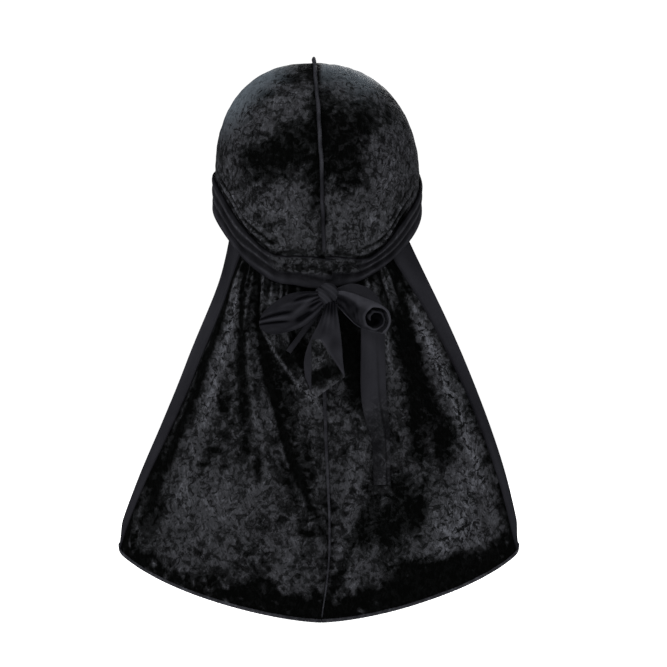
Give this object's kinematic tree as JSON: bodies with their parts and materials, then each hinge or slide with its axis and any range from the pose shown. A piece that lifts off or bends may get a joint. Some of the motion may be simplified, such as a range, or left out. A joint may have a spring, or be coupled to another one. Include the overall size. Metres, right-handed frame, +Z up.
{
  "type": "durag",
  "caption": "Long-caped velvet durag in its worn form: seamed crown, sewn-on strap tied in a bow at the nape, and a flared cape with smooth side facings and a rolled hem",
  "frame": {"origin": "inside of the crown's top, where the wearer's head bears", "axes": "+Z up, +Y towards the brow, +X to the wearer's right; the cape hangs down behind, towards -Y and -Z"},
  "size_m": [0.3174, 0.2138, 0.4482],
  "materials": {
    "crushed_velvet": "black crushed velvet, patchy pile with soft bluish sheen",
    "plain_satin": "black matte satin, fine weave"
  },
  "bodies": {
    "root": {"crown_panel_left": "crushed_velvet", "crown_panel_right": "crushed_velvet", "crown_seam": "crushed_velvet", "cape_panel_left": "crushed_velvet", "cape_panel_right": "crushed_velvet", "cape_seam": "crushed_velvet", "cape_hem_left": "crushed_velvet", "cape_hem_right": "crushed_velvet", "cape_facing_left": "plain_satin", "cape_facing_right": "plain_satin", "brow_band": "plain_satin", "strap_left": "plain_satin", "strap_right": "plain_satin", "knot": "plain_satin", "bow_loop_left": "plain_satin", "bow_loop_right": "plain_satin", "tail_long": "plain_satin", "tail_short": "plain_satin", "strap_tuck": "plain_satin"}
  },
  "joints": []
}
